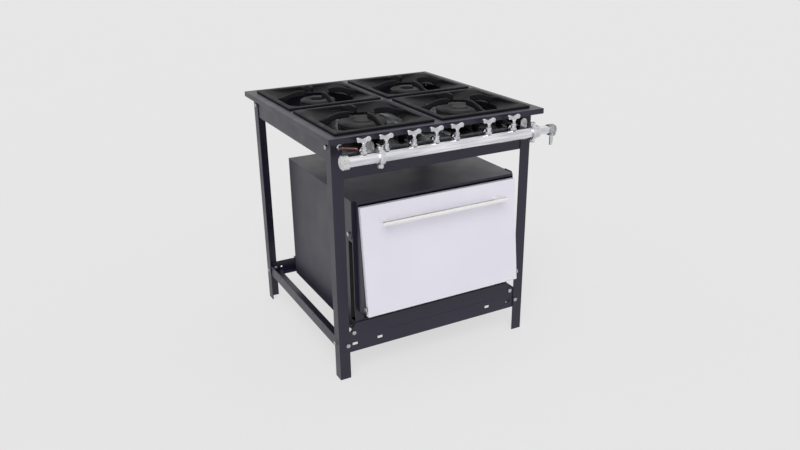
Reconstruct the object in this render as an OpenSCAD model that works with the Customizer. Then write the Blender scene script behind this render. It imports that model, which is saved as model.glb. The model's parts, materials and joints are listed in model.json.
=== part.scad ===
// Four-burner gas range on an open angle-iron stand, with an oven hung below the top.
// Millimetres. +Z is up, the front faces -Y, and z = 0 is the floor.

/* [Stand] */
// Width of the cooking top
top_w = 740; // [700:10:820]
// Depth of the cooking top
top_d = 750; // [730:10:820]
// Height of the top's upper face above the floor
top_h = 800; // [780:10:900]
// Drop of the folded lip round the top
top_lip = 17; // [10:1:20]
// Thickness of every folded sheet of the stand
sheet_t = 3; // [2:0.5:4]
// Thickness of the leg angles
leg_t = 3; // [3:0.5:5]
// Width of each flange of the leg angles
leg_flange = 36; // [32:1:45]
// Side edge of the top in to the legs
leg_in_side = 20; // [10:1:30]
// Front edge of the top back to the legs
leg_in_front = 38; // [30:1:45]
// Rear edge of the top in to the legs
leg_in_rear = 35; // [25:1:45]
// Height of the side and rear aprons
apron_h = 79; // [60:1:90]
// Height of the front rail
front_rail_h = 56; // [40:1:70]
// Width of the inward foot of the aprons and the front rail
apron_foot = 18; // [12:1:20]
// Underside of the lower rails above the floor
low_rail_z = 103; // [60:1:120]
// Upright flange of the lower rails
low_rail_h = 38; // [30:1:45]
// Flat flange of the lower rails
low_rail_w = 45; // [30:1:50]
// Lower edge of the front plate above the floor
plate_z = 90; // [60:1:100]
// Height of the front plate
plate_h = 100; // [80:1:104]
// Bolt shank diameter
bolt_d = 8; // [6:1:10]
// Width across the flats of the bolt heads
bolt_af = 13; // [10:1:15]

/* [Burners and grates] */
// Side of a square grate
grate_w = 326; // [300:1:330]
// Gap between the left and right grates
grate_gap_x = 25; // [15:1:30]
// Gap between the front and rear grates
grate_gap_y = 28; // [15:1:35]
// Middle of the grates behind the middle of the top
grate_mid_y = -5; // [-8:1:4]
// Thickness of a grate's rim
grate_rim_t = 7; // [5:0.5:10]
// Rim of a grate that rests on the top
grate_seat = 11; // [8:1:12]
// Gap between a grate's skirt and its opening
grate_play = 3; // [1:0.5:4]
// Side of a grate in to its round mouth
grate_mouth_in = 45; // [40:1:60]
// Depth of a grate below the top
grate_drop = 16; // [10:1:20]
// Rise of the pot arms above the top
arm_rise = 24; // [18:1:32]
// Width of a pot arm
arm_w = 8; // [7:1:14]
// Radius where the pot arms end
arm_tip_r = 42; // [36:1:48]
// Radius of a front burner
front_burner_r = 75; // [65:1:85]
// Radius of a rear burner
rear_burner_r = 60; // [45:1:75]
// Top's upper face down to the burners' undersides
burner_drop = 56; // [54:1:57]
// Height of a burner bowl
bowl_h = 36; // [30:1:40]
// Wall of the burner castings
cast_t = 5; // [4:0.5:6]
// Outer radius of a mixing tube
mixer_r = 13; // [11:0.5:14]
// Outer radius of a mixing tube's mouth
mouth_r = 18.5; // [16:0.5:20]
// Thickness of a burner cap
cap_t = 11; // [8:1:13]

/* [Gas line] */
// Outside diameter of the supply pipe
pipe_d = 33.4; // [26.9:0.1:42.4]
// Wall of the supply pipe
pipe_wall = 3.4; // [2.5:0.1:4]
// Underside of the burners up to the mixing tubes and the tap outlets
mixer_up = 15; // [14:0.5:18]
// Front edge of the top out to the pipe's axis
pipe_out = 27; // [24:1:35]
// Left end of the pipe in from the legs
pipe_in_left = 10; // [0:1:20]
// Right end of the pipe in from the legs
pipe_in_right = 28; // [20:1:34]
// Diameter of the inlet nipple
nipple_d = 26.9; // [21.3:0.1:30]
// Length of the inlet nipple that shows
nipple_len = 45; // [30:1:60]
// Radius of the hose tail
tail_r = 5.5; // [4:0.5:6]
// Length of the hose tail below the elbow
tail_len = 34; // [30:1:45]
// Oven tap from the pipe's left end
oven_tap = 64; // [60:1:70]
// Two taps of the front left burner off its middle
left_taps = [-30.5, 59.5];
// Two taps of the front right burner off its middle
right_taps = [-33.5, 58.5];
// Taps of the rear left and rear right burners off the middle
rear_taps = [-41, 29];
// Width of a tap's butterfly handle
handle_w = 43; // [36:1:45]
// Stem diameter of a tap
stem_d = 8; // [6:1:9]
// Radial running clearance of the stems and hinge pins
running = 0.05; // [0.02:0.01:0.1]
// Diameter of the gas tubes
tube_d = 8; // [6:0.5:10]

/* [Oven] */
// Stand's inner faces in to the oven's sides
oven_in = 56; // [49:1:58]
// Depth of the oven casing
oven_d = 520; // [440:5:560]
// Height of the oven casing
oven_h = 442; // [400:1:460]
// Thickness of the oven's sheets
oven_t = 2; // [1.5:0.5:2.5]
// Insulation between the casing and the lining
lagging = 26; // [22:1:35]
// Oven's sides in to the door's
door_in = 12; // [10:0.5:20]
// Oven's top down to the door's upper edge
door_down = 11; // [8:0.5:30]
// Thickness of the door
door_t = 16; // [14:0.5:18]
// Backward lean of the closed door
door_lean = 6.3; // [5:0.05:9]
// Front plane of the legs out to the door's lower edge
door_out = 64; // [60:1:75]
// Lower edge of the door above the oven's bottom
door_lift = 88; // [85:1:95]
// Door's sides in to the handle's ends
grip_in = 55; // [36:1:125]
// Diameter of the door handle
grip_d = 15; // [12:1:20]
// Door's upper edge down to the handle's axis
grip_down = 53; // [37:1:105]
// Door face out to the handle's axis
grip_out = 30; // [26:1:36]
// Hinge pin diameter
pin_d = 8; // [6:1:8]

/* [Hidden] */
$fn = 48;
e = 0.5;                                  // how far a cut runs past a face
c = 0.2;                                  // clearance round a bolt

paint = [0.24, 0.24, 0.28];
iron = [0.13, 0.13, 0.14];
chrome = [0.82, 0.83, 0.85];
copper = [0.55, 0.28, 0.2];
enamel = [0.9, 0.9, 0.94];
steel = [0.55, 0.56, 0.58];
wool = [0.78, 0.72, 0.45];

// Stand: planes of the legs and of the sheets inside them
out_x = top_w / 2 - leg_in_side;
in_x = out_x - leg_t;
web_x = in_x - sheet_t;
front_y = -top_d / 2 + leg_in_front;
front_in_y = front_y + leg_t;
front_web_y = front_in_y + sheet_t;
rear_y = top_d / 2 - leg_in_rear;
rear_in_y = rear_y - leg_t;
rear_web_y = rear_in_y - sheet_t;
under_z = top_h - sheet_t;
apron_z = under_z - apron_h;
front_rail_z = apron_z + sheet_t - front_rail_h;
flat_x = web_x - (low_rail_w - sheet_t);   // inner edge of the side rails' flat flange

// Bolts: distance from a leg's outer corner, then height
side_bolt = 28;
end_bolt = 29;
rail_bolt = 19;
apron_bolt_z = apron_z + 43;
low_bolt_z = low_rail_z + 20;
end_bolt_z = low_rail_z + 16;
plate_bolt_x = web_x - 46;
bolt_hole_r = bolt_d / 2 + c;
head_t = 5.3;
nut_t = 6.5;
spare_hole_r = 4;

// Grates and burners
pitch_x = (grate_w + grate_gap_x) / 2;
front_c = grate_mid_y - (grate_w + grate_gap_y) / 2;
rear_c = grate_mid_y + (grate_w + grate_gap_y) / 2;
opening_w = grate_w - 2 * grate_seat;
skirt_w = opening_w - 2 * grate_play;
grate_mouth_r = grate_w / 2 - grate_mouth_in;
bar_w = 30;
bar_h = 4;
foot_h = 6;
pan_rim = 11;
pan_play = 3;
pan_front_y = front_web_y + 31;
pan_z = apron_z + sheet_t;
bowl_z = top_h - burner_drop;
bar_z = bowl_z - foot_h - bar_h;
cap_z = bowl_z + bowl_h;

// Gas line
pipe_r = pipe_d / 2;
pipe_y = -top_d / 2 - pipe_out;
outlet_z = bowl_z + mixer_up;              // outlets, injectors and mixing tubes share this height
outlet_up = 5.3;
pipe_top = outlet_z - outlet_up;
pipe_z = pipe_top - pipe_r;
pipe_left = -out_x + pipe_in_left;
pipe_right = out_x - pipe_in_right;
tap_x = [pipe_left + oven_tap, left_taps[0] - pitch_x, left_taps[1] - pitch_x, rear_taps[0], rear_taps[1],
    pitch_x + right_taps[0], pitch_x + right_taps[1]];
nut_af = 14;
nut_front = pipe_y + 14;
nut_len = 12;
mouth_y = front_y + 7;                     // mouths of the front burners' mixing tubes
rear_mouth_y = rear_c - rear_burner_r - 72;
tube_r = tube_d / 2;
ring_r = pipe_r + 5.8;                     // outside of the bracket rings
cap_r = pipe_r + 4.3;
spigot_r = 6.9;
elbow_r = nipple_d / 2 + 3.05;
elbow_x = pipe_right + nipple_len + elbow_r;
tail_z = pipe_z - 51;
gas_x = -out_x + 25;                       // oven line down the front left leg
gas_y = front_y + 25;
gas_z = outlet_z + 7;
bracket_x = [pipe_left + 114, pipe_right - 16];
bracket_foot_x = [bracket_x[0], out_x - 30];
bracket_bolt_z = pipe_z - 32;
bracket_back_y = [front_in_y, front_y];

// Oven
bearer_z = low_rail_z + low_rail_h;
oven_z = bearer_z + 7;
oven_y = front_web_y + 1;                  // front plane of the oven's flange
oven_top = oven_z + oven_h;
oven_w = 2 * (web_x - oven_in);
casing_y = oven_y + oven_t;
casing_rear = oven_y + oven_d;
lining_x = oven_w / 2 - oven_t - lagging;
lining_z = oven_z + 38;
lining_top = oven_top - oven_t - lagging;
lining_rear = casing_rear - oven_t - lagging - 2;
lining_t = 1.5;
burner_z = oven_z + 22;
floor_z = lining_z + lining_t;
rack_z = lining_z + 150;
flue_r = 15;                               // three vents in the oven's back
flue_pitch = 60;
flue_z = oven_top - 60;
burner_gap_x = lining_x - 60;              // half the lining's opening over the burner
bearer_x = oven_w / 2 - 58;
bearer_w = 25;
door_y = front_y - door_out;
door_z = oven_z + door_lift;
door_w = oven_w - 2 * door_in;
door_h = (oven_top - door_down - door_z) / cos(door_lean);
grip_len = door_w - 2 * grip_in;
grip_up = door_h - grip_down;
hinge_v = 7.5;                             // hinge behind the door's face
hinge_u = 24;                              // hinge above the door's lower edge
hinge_y = door_y + hinge_v * cos(door_lean) + hinge_u * sin(door_lean);
hinge_z = door_z - hinge_v * sin(door_lean) + hinge_u * cos(door_lean);
// A point on the cheeks' front edge, u up the door from its lower edge
function slant_y(u) = door_y + cheek_set * cos(door_lean) + u * sin(door_lean);
function slant_z(u) = door_z - cheek_set * sin(door_lean) + u * cos(door_lean);
skin_t = 1.5;
cheek_t = 2;
cheek_x = door_w / 2 + 0.8;                // inner faces of the cheeks beside the door
cheek_set = 13;                            // cheek edge behind the door's face
brow_z = oven_top + oven_t;                // upper face of the oven's brow
brow_y = slant_y((brow_z - door_z + cheek_set * sin(door_lean)) / cos(door_lean));
sill_z = door_z - 8;
ear_r = 7;                                 // round ears of the cheeks at the hinge pins
tab_bolt_y = front_y + 28;
tab_bolt_z = oven_top - 108;
slot_z = oven_z + 40;                      // air slots in the casing's sides
slot_top = tab_bolt_z - 24;

// The origin is the middle of the footprint: the inlet elbow and the pipe widen it
mid_x = (elbow_x + elbow_r - top_w / 2) / 2;
mid_y = (top_d / 2 + pipe_y - ring_r) / 2;

// ---- shared shapes ----

// Moves the model so that the middle of its footprint is the origin
module place() {
    translate([-mid_x, -mid_y, 0]) children();
}

// A box between two corners
module block(lo, hi) {
    translate(lo) cube(hi - lo);
}

// The child and its mirror image in the middle plane
module both_sides() {
    children();
    mirror([1, 0, 0]) children();
}

// A cylinder along +X, +Y or +Z from a point
module rod_x(p, len, r) {
    translate(p) rotate([0, 90, 0]) cylinder(r = r, h = len);
}
module rod_y(p, len, r) {
    translate(p) rotate([-90, 0, 0]) cylinder(r = r, h = len);
}
module hex_y(p, len, af) {
    translate(p) rotate([-90, 0, 0]) cylinder(d = af / cos(30), h = len, $fn = 6);
}

// A round bar from one point to the next
module bar_between(a, b, r) {
    d = b - a;
    translate(a) rotate([0, acos(d[2] / norm(d)), atan2(d[1], d[0])]) cylinder(r = r, h = norm(d));
}

// A bent tube through a list of points, with a slightly fuller ball at each bend
module bent(points, r) {
    ball = r + 0.3;
    for (i = [1 : len(points) - 1]) bar_between(points[i - 1], points[i], r);
    for (i = [1 : len(points) - 2]) translate(points[i]) sphere(r = ball);
}

// A bolt along +Z: its head below z = 0 and its nut above the grip
module bolt(grip) {
    af = bolt_af / cos(30);
    translate([0, 0, -head_t]) cylinder(d = af, h = head_t, $fn = 6);
    cylinder(d = bolt_d, h = grip + nut_t + 2);
    translate([0, 0, grip]) cylinder(d = af, h = nut_t, $fn = 6);
}

// ---- stand ----

// An angle with its outer corner on the Z axis; holes are [distance from the corner, height]
module leg_angle(side_holes, end_holes) {
    f = leg_flange;
    t = leg_t;
    color(paint) difference() {
        linear_extrude(under_z) polygon([[0, 0], [f, 0], [f, t], [t, t], [t, f], [0, f]]);
        for (h = side_holes) rod_x([-e, h[0], h[1]], t + 2 * e, bolt_hole_r);
        for (h = end_holes) rod_y([h[0], -e, h[1]], t + 2 * e, bolt_hole_r);
    }
}

leg_side = [[side_bolt, apron_bolt_z], [side_bolt, low_bolt_z]];
front_end = [[end_bolt, end_bolt_z]];
rear_end = [[end_bolt, end_bolt_z], [rail_bolt, apron_bolt_z]];

module leg_front_left() {
    place() difference() {
        translate([-out_x, front_y, 0]) leg_angle(leg_side, front_end);
        color(paint) rod_y([gas_x, front_y - e, gas_z], leg_t + 2 * e, tube_r + 1);
    }
}
module leg_front_right() {
    place() difference() {
        translate([out_x, front_y, 0]) mirror([1, 0, 0]) leg_angle(leg_side, front_end);
        color(paint) rod_y([bracket_foot_x[1], front_y - e, bracket_bolt_z], leg_t + 2 * e, bolt_hole_r);
    }
}
module leg_rear_left() {
    place() translate([-out_x, rear_y, 0]) mirror([0, 1, 0]) leg_angle(leg_side, rear_end);
}
module leg_rear_right() {
    place() translate([out_x, rear_y, 0]) mirror([1, 0, 0]) mirror([0, 1, 0]) leg_angle(leg_side, rear_end);
}

// Pressed top: a sheet with a folded lip, four square openings and welded stiffeners
module top_frame() {
    w = top_w / 2;
    d = top_d / 2;
    t = sheet_t;
    stiffener_z = under_z - 20;
    color(paint) place() union() {
        difference() {
            block([-w, -d, top_h - top_lip], [w, d, top_h]);
            block([-w + t, -d + t, top_h - top_lip - e], [w - t, d - t, under_z]);
            for (x = [-pitch_x, pitch_x], y = [front_c, rear_c])
                translate([x - opening_w / 2, y - opening_w / 2, under_z - e])
                    cube([opening_w, opening_w, t + 2 * e]);
        }
        block([-t / 2, -d + t, stiffener_z], [t / 2, rear_web_y, under_z]);
        both_sides() block([-web_x, grate_mid_y - t / 2, stiffener_z], [0, grate_mid_y + t / 2, under_z]);
    }
}

// A side apron: an upright sheet with an inward foot
module apron_side_left() {
    difference() {
        union() {
            block([-in_x, front_in_y, apron_z], [-web_x, rear_in_y, under_z]);
            block([-in_x, pan_front_y, apron_z], [-web_x + apron_foot, rear_web_y, apron_z + sheet_t]);
        }
        for (y = [front_y + side_bolt, rear_y - side_bolt])
            rod_x([-in_x - e, y, apron_bolt_z], sheet_t + 2 * e, bolt_hole_r);
    }
}
module apron_left() {
    color(paint) place() apron_side_left();
}
module apron_right() {
    color(paint) place() mirror([1, 0, 0]) apron_side_left();
}
module apron_rear() {
    foot_x = web_x - apron_foot;
    color(paint) place() difference() {
        union() {
            block([-web_x, rear_web_y, apron_z], [web_x, rear_in_y, under_z]);
            block([-foot_x, rear_in_y - apron_foot, apron_z], [foot_x, rear_in_y, apron_z + sheet_t]);
        }
        both_sides() rod_y([-out_x + rail_bolt, rear_web_y - e, apron_bolt_z], sheet_t + 2 * e, bolt_hole_r);
    }
}

// Rail under the open front, behind the supply pipe
module front_rail() {
    z = front_rail_z;
    foot_x = -gas_x - 25;
    color(paint) place() difference() {
        union() {
            block([-web_x, front_in_y, z], [web_x, front_web_y, z + front_rail_h]);
            block([-foot_x, front_in_y, z + front_rail_h - sheet_t], [foot_x, front_in_y + apron_foot, z + front_rail_h]);
        }
        for (x = bracket_foot_x) rod_y([x, front_in_y - e, bracket_bolt_z], sheet_t + 2 * e, bolt_hole_r);
    }
}

// Lower rails: angles with the flat flange turned in
rail_hole_y = [rear_y - 50, rear_y - 135, front_y + 222, front_y + 137];
module low_rail_side_left() {
    z = low_rail_z;
    difference() {
        union() {
            block([-in_x, front_in_y, z], [-web_x, rear_in_y, z + low_rail_h]);
            block([-in_x, front_web_y, z], [-flat_x, rear_web_y, z + sheet_t]);
        }
        for (y = [front_y + side_bolt, rear_y - side_bolt])
            rod_x([-in_x - e, y, low_bolt_z], sheet_t + 2 * e, bolt_hole_r);
        for (y = rail_hole_y) rod_x([-in_x - e, y, z + low_rail_h - 9], sheet_t + 2 * e, spare_hole_r - 1);
    }
}
module lower_rail_left() {
    color(paint) place() low_rail_side_left();
}
module lower_rail_right() {
    color(paint) place() mirror([1, 0, 0]) low_rail_side_left();
}
module lower_rail_rear() {
    z = low_rail_z;
    color(paint) place() difference() {
        union() {
            block([-web_x, rear_web_y, z], [web_x, rear_in_y, z + low_rail_h]);
            block([-flat_x, rear_in_y - low_rail_w, z], [flat_x, rear_in_y, z + sheet_t]);
        }
        both_sides() {
            rod_y([-out_x + end_bolt, rear_web_y - e, end_bolt_z], sheet_t + 2 * e, bolt_hole_r);
            rod_y([-flat_x + 6, rear_web_y - e, end_bolt_z - 2], sheet_t + 2 * e, spare_hole_r);
        }
    }
}
// Plate across the front below the oven door, with cut corners, slots, a pressed crease and a
// folded lower edge; two shelves behind it carry the bearers
module front_plate() {
    shoulder = web_x - 61;
    edge_x = web_x - 31;
    top = plate_z + plate_h;
    corner_z = top - 30;
    slot_mid = plate_z + 27;
    slot_w = 18;
    slot_hi = 10;
    crease = [-web_x + 166, web_x - 85];
    fold_x = web_x - 24;
    fold = 20;
    shelf = 28;
    color(paint) place() union() {
        difference() {
            translate([0, front_web_y, 0]) rotate([90, 0, 0]) linear_extrude(sheet_t)
                polygon([[-web_x, plate_z], [web_x, plate_z], [web_x, corner_z], [edge_x, corner_z],
                    [shoulder, top], [-shoulder, top], [-edge_x, corner_z], [-web_x, corner_z]]);
            both_sides() {
                rod_y([-out_x + end_bolt, front_in_y - e, end_bolt_z], sheet_t + 2 * e, bolt_hole_r);
                rod_y([-plate_bolt_x, front_in_y - e, corner_z - 2], sheet_t + 2 * e, bolt_hole_r);
                for (x = [50 - web_x, 138 - web_x])
                    block([x - slot_w / 2, front_in_y - e, slot_mid - slot_hi / 2],
                        [x + slot_w / 2, front_web_y + e, slot_mid + slot_hi / 2]);
            }
            block([crease[0], front_in_y - e, plate_z + 50], [crease[1], front_in_y + 0.8, plate_z + 52]);
        }
        block([-fold_x, front_in_y, plate_z], [fold_x, front_web_y + fold, plate_z + sheet_t]);
        both_sides() block([-bearer_x - bearer_w / 2, front_in_y + 1, bearer_z - sheet_t],
            [-bearer_x + bearer_w / 2, front_web_y + shelf, bearer_z]);
    }
}

// Two flats under the oven, from the front rail to the rear rail
module oven_bearers() {
    color(paint) place() both_sides()
        block([-bearer_x - bearer_w / 2, front_web_y, bearer_z], [-bearer_x + bearer_w / 2, rear_in_y, oven_z]);
}

// All of the hexagon bolts with their nuts
module bolts() {
    side_grip = leg_t + sheet_t;
    color(chrome) place() {
        both_sides() {
            for (y = [front_y + side_bolt, rear_y - side_bolt], z = [apron_bolt_z, low_bolt_z])
                translate([-out_x, y, z]) rotate([0, 90, 0]) bolt(side_grip);
            translate([-oven_w / 2 - oven_t, tab_bolt_y, tab_bolt_z]) rotate([0, 90, 0]) bolt(2 * oven_t);
            translate([-out_x + end_bolt, front_y, end_bolt_z]) rotate([-90, 0, 0]) bolt(side_grip);
            translate([-plate_bolt_x, front_in_y, plate_z + plate_h - 32]) rotate([-90, 0, 0]) bolt(sheet_t);
            translate([-out_x + end_bolt, rear_y, end_bolt_z]) rotate([90, 0, 0]) bolt(side_grip);
            translate([-out_x + rail_bolt, rear_y, apron_bolt_z]) rotate([90, 0, 0]) bolt(side_grip);
        }
        for (i = [0, 1])
            translate([bracket_foot_x[i], bracket_back_y[i] - bracket_t, bracket_bolt_z]) rotate([-90, 0, 0])
                bolt(front_web_y - bracket_back_y[i] + bracket_t);
    }
}

// Flats across the stand that carry the burners
module burner_bars() {
    color(iron) place() for (y = [front_c, rear_c])
        block([-web_x, y - bar_w / 2, bar_z], [web_x, y + bar_w / 2, bar_z + bar_h]);
}

// Shallow pan under the burners, resting on the aprons' feet
module drip_pan() {
    x = web_x - pan_play;
    y = rear_web_y - pan_play;
    t = 1.5;
    color(steel) place() difference() {
        block([-x, pan_front_y, pan_z], [x, y, pan_z + pan_rim]);
        block([-x + t, pan_front_y + t, pan_z + t], [x - t, y - t, pan_z + pan_rim + e]);
    }
}

// ---- burners and grates ----

// Cast bowl with mixing tubes that run to the front; tubes lists their places along X
module burner(cx, cy, r, tubes, mouth, ring) {
    bell = 26;
    core_h = ring ? bowl_h : bowl_h - 14;
    color(iron) place() difference() {
        union() {
            translate([cx, cy, bowl_z]) cylinder(r = r, h = bowl_h);
            translate([cx, cy, bowl_z - foot_h]) cylinder(r = bar_w / 2 - 1, h = foot_h + 1);
            for (x = tubes) {
                rod_y([x, mouth, outlet_z], cy - mouth, mixer_r);
                translate([x, mouth, outlet_z]) rotate([-90, 0, 0]) cylinder(r1 = mouth_r, r2 = mixer_r, h = bell);
                rod_y([x, mouth, outlet_z], 4, mouth_r);
            }
        }
        difference() {
            translate([cx, cy, bowl_z + cast_t]) cylinder(r = r - cast_t, h = bowl_h);
            translate([cx, cy, bowl_z]) cylinder(r = r / 2, h = core_h);
        }
        translate([cx, cy, bowl_z + cast_t]) cylinder(r = r / 2 - cast_t, h = bowl_h);
        for (x = tubes) {
            rod_y([x, mouth - e, outlet_z], cy - mouth - r / 2, mixer_r - 4);
            translate([x, mouth - e, outlet_z]) rotate([-90, 0, 0])
                cylinder(r1 = mouth_r - 2.5, r2 = mixer_r - 4, h = bell + e);
        }
    }
}
module burner_front_left() {
    burner(-pitch_x, front_c, front_burner_r, [tap_x[1], tap_x[2]], mouth_y, false);
}
module burner_front_right() {
    burner(pitch_x, front_c, front_burner_r, [tap_x[5], tap_x[6]], mouth_y, false);
}
module burner_rear_left() {
    burner(-pitch_x, rear_c, rear_burner_r, [-pitch_x], rear_mouth_y, true);
}
module burner_rear_right() {
    burner(pitch_x, rear_c, rear_burner_r, [pitch_x], rear_mouth_y, true);
}

// Loose crown with a spigot in the bowl and a ring of flame ports. A ring's crown is open in the
// middle, and a double burner's has a small head there
module burner_cap(cx, cy, r, ring) {
    spigot = r - cast_t - 0.5;
    roof = cap_t - 5;
    ports = 24;
    color(iron) place() translate([cx, cy, cap_z]) union() {
        difference() {
            union() {
                translate([0, 0, -7]) cylinder(r = spigot, h = 7);
                cylinder(r = r, h = cap_t - 4);
                translate([0, 0, cap_t - 4]) cylinder(r1 = r, r2 = r - 8, h = 4);
            }
            translate([0, 0, -7 - e]) cylinder(r = spigot - 4, h = 7 + e);
            difference() {
                translate([0, 0, -e]) cylinder(r = spigot - 4, h = roof + e);
                if (ring) translate([0, 0, -2 * e]) cylinder(r = r / 2, h = roof + 3 * e);
            }
            if (ring) translate([0, 0, -e]) cylinder(r = r / 2 - cast_t, h = cap_t + 2 * e);
            else translate([0, 0, cap_t - 2.5]) cylinder(r = r / 2, h = 4);
            for (i = [0 : ports - 1])
                rotate([0, 0, i * 360 / ports]) rod_x([spigot - 8, 0, 3], 20, 1.6);
        }
        if (!ring) translate([0, 0, cap_t - 3]) cylinder(r = r / 2 - 9, h = 4.5);
    }
}
module burner_cap_front_left() {
    burner_cap(-pitch_x, front_c, front_burner_r, false);
}
module burner_cap_front_right() {
    burner_cap(pitch_x, front_c, front_burner_r, false);
}
module burner_cap_rear_left() {
    burner_cap(-pitch_x, rear_c, rear_burner_r, true);
}
module burner_cap_rear_right() {
    burner_cap(pitch_x, rear_c, rear_burner_r, true);
}

// Dished square grate: a flat rim, a funnel down to the round mouth and four pot arms
module grate(cx, cy) {
    w = grate_w;
    rim = grate_rim_t;
    deep = grate_drop + rim;
    side_wall = 3.5;
    inner = skirt_w - 2 * side_wall;
    wide_r = grate_mouth_r + 75;
    wall = 7;
    m = grate_mouth_r;
    color(iron) place() translate([cx, cy, top_h]) union() {
        difference() {
            union() {
                translate([-w / 2, -w / 2, 0]) cube([w, w, rim]);
                intersection() {
                    translate([-skirt_w / 2, -skirt_w / 2, -grate_drop]) cube([skirt_w, skirt_w, grate_drop + e]);
                    translate([0, 0, -grate_drop]) cylinder(r1 = m + wall, r2 = wide_r + 3 * wall, h = deep);
                }
            }
            intersection() {
                translate([-inner / 2, -inner / 2, -grate_drop - e]) cube([inner, inner, deep + 2 * e]);
                translate([0, 0, -grate_drop]) cylinder(r1 = m, r2 = wide_r, h = deep + 0.01);
            }
            translate([0, 0, -grate_drop - e]) cylinder(r = m, h = 2 * e);
        }
        for (a = [0 : 90 : 270]) rotate([0, 0, a]) translate([0, arm_w / 2, 0]) rotate([90, 0, 0])
            linear_extrude(arm_w) polygon([[inner / 2 + 2, 1], [inner / 2 + 2, rim], [m + 22, rim + 1],
                [m + 8, rim + 3], [m - 8, arm_rise - 9], [m - 26, arm_rise - 3], [m - 44, arm_rise],
                [arm_tip_r + 3, arm_rise], [arm_tip_r, arm_rise - 3], [arm_tip_r + 2, arm_rise - 20],
                [m - 34, arm_rise - 20], [m - 14, arm_rise - 26], [m + 4, 1 - grate_drop], [m + 12, 1 - grate_drop]]);
    }
}
module grate_front_left() {
    grate(-pitch_x, front_c);
}
module grate_front_right() {
    grate(pitch_x, front_c);
}
module grate_rear_left() {
    grate(-pitch_x, rear_c);
}
module grate_rear_right() {
    grate(pitch_x, rear_c);
}

// ---- gas line ----

module supply_pipe() {
    color(chrome) place() difference() {
        rod_x([pipe_left, pipe_y, pipe_z], pipe_right - pipe_left, pipe_r);
        rod_x([pipe_left - e, pipe_y, pipe_z], pipe_right - pipe_left + 2 * e, pipe_r - pipe_wall);
        for (x = tap_x) translate([x, pipe_y, pipe_z]) cylinder(r = spigot_r + 0.1, h = pipe_r + e);
    }
}

// Domed cap on the pipe's left end
module pipe_cap() {
    len = 17;
    crown = 3;
    x = pipe_left - 5;
    color(chrome) place() difference() {
        union() {
            rod_x([x, pipe_y, pipe_z], len, cap_r);
            translate([x - crown, pipe_y, pipe_z]) rotate([0, 90, 0]) cylinder(r1 = cap_r - 4, r2 = cap_r, h = crown);
        }
        rod_x([pipe_left - 0.5, pipe_y, pipe_z], len, pipe_r + 0.05);
    }
}

// Reducing collar between the pipe and the nipple
module pipe_reducer() {
    lap = 6;
    face = 5;
    color(chrome) place() difference() {
        rod_x([pipe_right - lap, pipe_y, pipe_z], lap + face, pipe_r + 2.3);
        rod_x([pipe_right - lap - e, pipe_y, pipe_z], lap + e, pipe_r + 0.05);
        rod_x([pipe_right - e, pipe_y, pipe_z], face + 2 * e, nipple_d / 2 + 0.05);
    }
}
module inlet_nipple() {
    nr = nipple_d / 2;
    len = elbow_x - elbow_r + 3 - pipe_right;
    color(chrome) place() difference() {
        rod_x([pipe_right + 1, pipe_y, pipe_z], len, nr);
        rod_x([pipe_right, pipe_y, pipe_z], len + 2, nr - 3);
    }
}

// Elbow that turns the inlet down
elbow_drop = 18;
module inlet_elbow() {
    nr = nipple_d / 2;
    r = elbow_r;
    bore = 7;
    color(steel) place() translate([elbow_x, pipe_y, pipe_z]) difference() {
        union() {
            rod_x([-r, 0, 0], 8, r);
            rod_x([-r, 0, 0], r, r - 1);
            sphere(r = r);
            translate([0, 0, -elbow_drop]) cylinder(r = r - 3, h = elbow_drop);
        }
        rod_x([-r - e, 0, 0], 4 + e, nr + 0.05);
        rod_x([-r, 0, 0], r, bore);
        translate([0, 0, -elbow_drop - e]) cylinder(r = bore, h = elbow_drop + e);
    }
}

// Hose tail: a plug in the elbow, a hexagon and a stem with ridges
module hose_tail() {
    foot = tail_z - pipe_z + elbow_drop;
    hex_h = 4;
    smooth = 11;                           // plain length at the stem's end
    color(chrome) place() translate([elbow_x, pipe_y, pipe_z - elbow_drop]) difference() {
        union() {
            cylinder(r = 6.9, h = 8);
            translate([0, 0, -hex_h]) cylinder(d = 17 / cos(30), h = hex_h, $fn = 6);
            translate([0, 0, foot]) cylinder(r = tail_r, h = -foot - 2);
            for (i = [0 : 2]) translate([0, 0, foot + smooth + 5 * i]) cylinder(r1 = tail_r, r2 = tail_r + 1, h = 4);
        }
        translate([0, 0, foot - e]) cylinder(r = tail_r - 2, h = 9 - foot);
    }
}

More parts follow.
